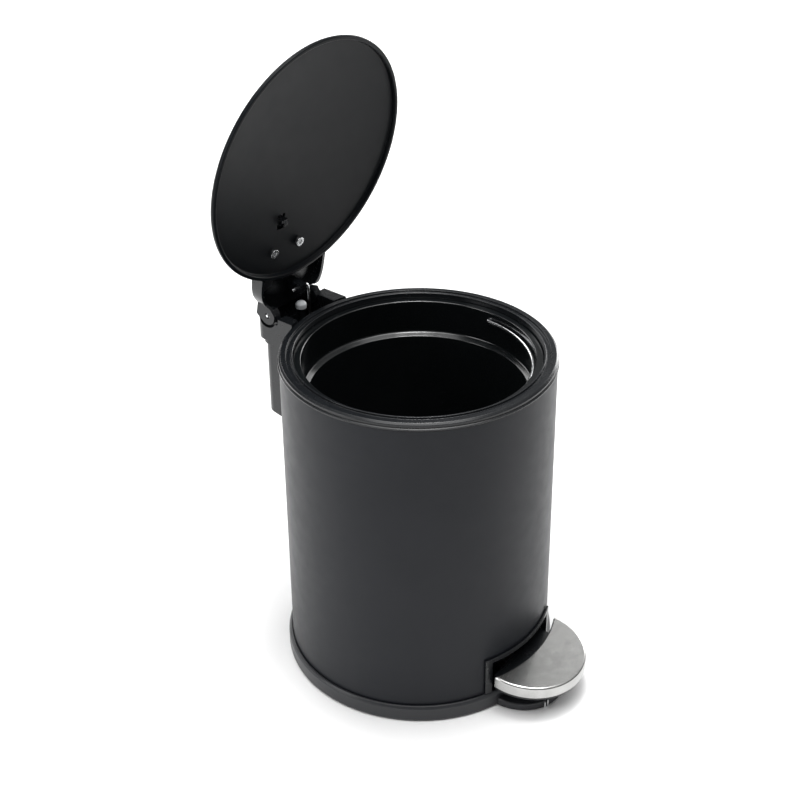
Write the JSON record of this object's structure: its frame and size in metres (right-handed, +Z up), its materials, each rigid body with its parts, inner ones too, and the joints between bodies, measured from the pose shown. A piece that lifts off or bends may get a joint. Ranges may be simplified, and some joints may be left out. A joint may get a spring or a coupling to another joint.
{
  "type": "pedal trash can",
  "caption": "Round pedal trash can with a domed hinged lid held open, a steel foot pedal, a lift-out inner bucket and a wire carrying handle.",
  "frame": {"origin": "centre of the flat underside that the bin stands on", "axes": "+Z up along the bin's axis, hinge towards +Y, pedal towards -Y, hinge axis along X"},
  "size_m": [0.2116, 0.2865, 0.4815],
  "materials": {
    "body_paint": "matte powder coat, charcoal",
    "lid_paint": "satin powder coat, charcoal",
    "black_plastic": "fine moulded texture, black",
    "bucket_plastic": "fine moulded texture, black",
    "foot_rubber": "matte black",
    "knob_plastic": "smooth, light grey",
    "pedal_steel": "satin stainless steel",
    "plain_steel": "zinc plated",
    "bright_wire": "bright plated wire"
  },
  "bodies": {
    "frame": {"outer_body": "body_paint", "rim_ring": "black_plastic", "base_tray": "black_plastic", "bottom_cover": "black_plastic", "foot_ring": "foot_rubber", "bottom_screw_1": "plain_steel", "bottom_screw_2": "plain_steel", "bottom_screw_3": "plain_steel", "slot_trim": "black_plastic", "stop_clip": "bright_wire", "hinge_housing": "black_plastic", "housing_screw_left": "plain_steel", "housing_screw_right": "plain_steel", "hinge_pin_left": "bright_wire", "hinge_pin_right": "bright_wire", "damper_cylinder": "black_plastic", "pedal_axle": "plain_steel", "axle_clip_left": "plain_steel", "axle_clip_right": "plain_steel"},
    "lid": {"lid_disc": "lid_paint", "lid_bracket": "black_plastic", "bracket_latch": "black_plastic", "lid_screw_left": "plain_steel", "lid_screw_right": "plain_steel", "lid_nut_left": "bright_wire", "lid_nut_right": "bright_wire"},
    "rod": {"push_rod": "bright_wire"},
    "pedal": {"pedal_lever": "plain_steel", "pedal_pad": "black_plastic", "pedal_cap": "pedal_steel"},
    "plunger": {"damper_rod": "black_plastic", "damper_knob": "knob_plastic"},
    "bucket": {"inner_bucket": "bucket_plastic"},
    "bail": {"bail_handle": "bright_wire"}
  },
  "joints": [
    {"name": "lid_hinge", "type": "hinge", "parent": "frame", "child": "lid", "pos_m": [0, 0.125, 0.2623], "axis": [1, 0, 0], "range_deg": [0, 78.7]},
    {"name": "pushrod_pivot", "type": "hinge", "parent": "lid", "child": "rod", "pos_m": [0, 0.1202, 0.27613], "axis": [1, 0, 0], "range_deg": [-76.2, 0]},
    {"name": "pedal_pivot", "type": "hinge", "parent": "frame", "child": "pedal", "pos_m": [0, -0.014, 0.015], "axis": [1, 0, 0], "range_deg": [-9.4, 0]},
    {"name": "damper_slide", "type": "slide", "parent": "frame", "child": "plunger", "axis": [0, 0, 1], "range_m": [-0.0081, 0]},
    {"name": "bucket_lift", "type": "slide", "parent": "frame", "child": "bucket", "axis": [0, -0.0573, 0.9984], "range_m": [0, 0.3]},
    {"name": "bail_swing", "type": "hinge", "parent": "bucket", "child": "bail", "pos_m": [0, 0, 0.252], "axis": [-1, 0, 0], "range_deg": [0, 180]}
  ],
  "couplings": [
    {"joint": "pushrod_pivot", "follows": "lid_hinge", "ratio": -0.9651},
    {"joint": "pedal_pivot", "follows": "lid_hinge", "ratio": -0.11674},
    {"joint": "damper_slide", "follows": "lid_hinge", "m_per_rad": -0.00582}
  ]
}
